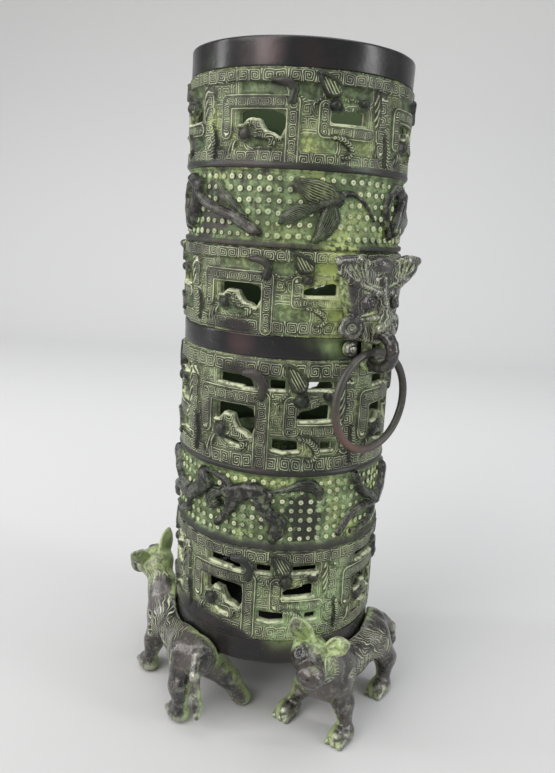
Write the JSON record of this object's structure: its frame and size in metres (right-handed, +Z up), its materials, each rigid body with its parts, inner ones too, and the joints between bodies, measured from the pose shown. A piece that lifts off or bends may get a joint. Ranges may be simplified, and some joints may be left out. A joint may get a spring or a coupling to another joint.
{
  "type": "openwork bronze vessel",
  "caption": "Tall cylindrical openwork bronze vessel with dragon bands, relief animals, masks holding loose rings, and walking beasts under the base.",
  "frame": {"origin": "on the tube's axis, at the underside of the base's floor plate; the beasts' feet reach below it", "axes": "+Z up along the tube's axis, +X towards the right mask and ring, +Y by the right-hand rule"},
  "size_m": [0.1411, 0.1485, 0.305],
  "materials": {
    "polished_bronze": "dark patinated bronze, rubbed to a soft sheen",
    "green_bronze": "dark relief with pale green patina in the recesses",
    "relief_bronze": "dark charcoal bronze relief with light scratches",
    "beast_bronze": "brown-grey bronze with green patina on the inner sides",
    "ring_bronze": "smooth grey-brown bronze wire"
  },
  "bodies": {
    "vessel": {"base_collar": "polished_bronze", "dragon_band_4": "green_bronze", "dotted_band_lower": "green_bronze", "dragon_band_3": "green_bronze", "middle_collar": "polished_bronze", "dragon_band_2": "green_bronze", "dotted_band_upper": "green_bronze", "dragon_band_1": "green_bronze", "rim_collar": "polished_bronze", "floor_plate": "polished_bronze", "upper_bird_1": "relief_bronze", "upper_bird_2": "relief_bronze", "upper_bird_3": "relief_bronze", "upper_beast_1": "relief_bronze", "upper_beast_2": "relief_bronze", "upper_beast_3": "relief_bronze", "lower_beast_1": "relief_bronze", "lower_beast_2": "relief_bronze", "lower_beast_3": "relief_bronze", "lower_climber_1": "relief_bronze", "lower_climber_2": "relief_bronze", "lower_climber_3": "relief_bronze", "mask_right": "relief_bronze", "mask_left": "relief_bronze", "nose_loop_right": "relief_bronze", "nose_loop_left": "relief_bronze", "carrying_beast_1": "beast_bronze", "carrying_beast_2": "beast_bronze", "carrying_beast_3": "beast_bronze"},
    "right_ring": {"ring_right": "ring_bronze"},
    "left_ring": {"ring_left": "ring_bronze"}
  },
  "joints": [
    {"name": "right_ring_swing", "type": "hinge", "parent": "vessel", "child": "right_ring", "pos_m": [0.056, 0, 0.14825], "axis": [0, -1, 0], "range_deg": [-3, 150]},
    {"name": "left_ring_swing", "type": "hinge", "parent": "vessel", "child": "left_ring", "pos_m": [-0.056, 0, 0.14825], "axis": [0, 1, 0], "range_deg": [-3, 150]}
  ]
}
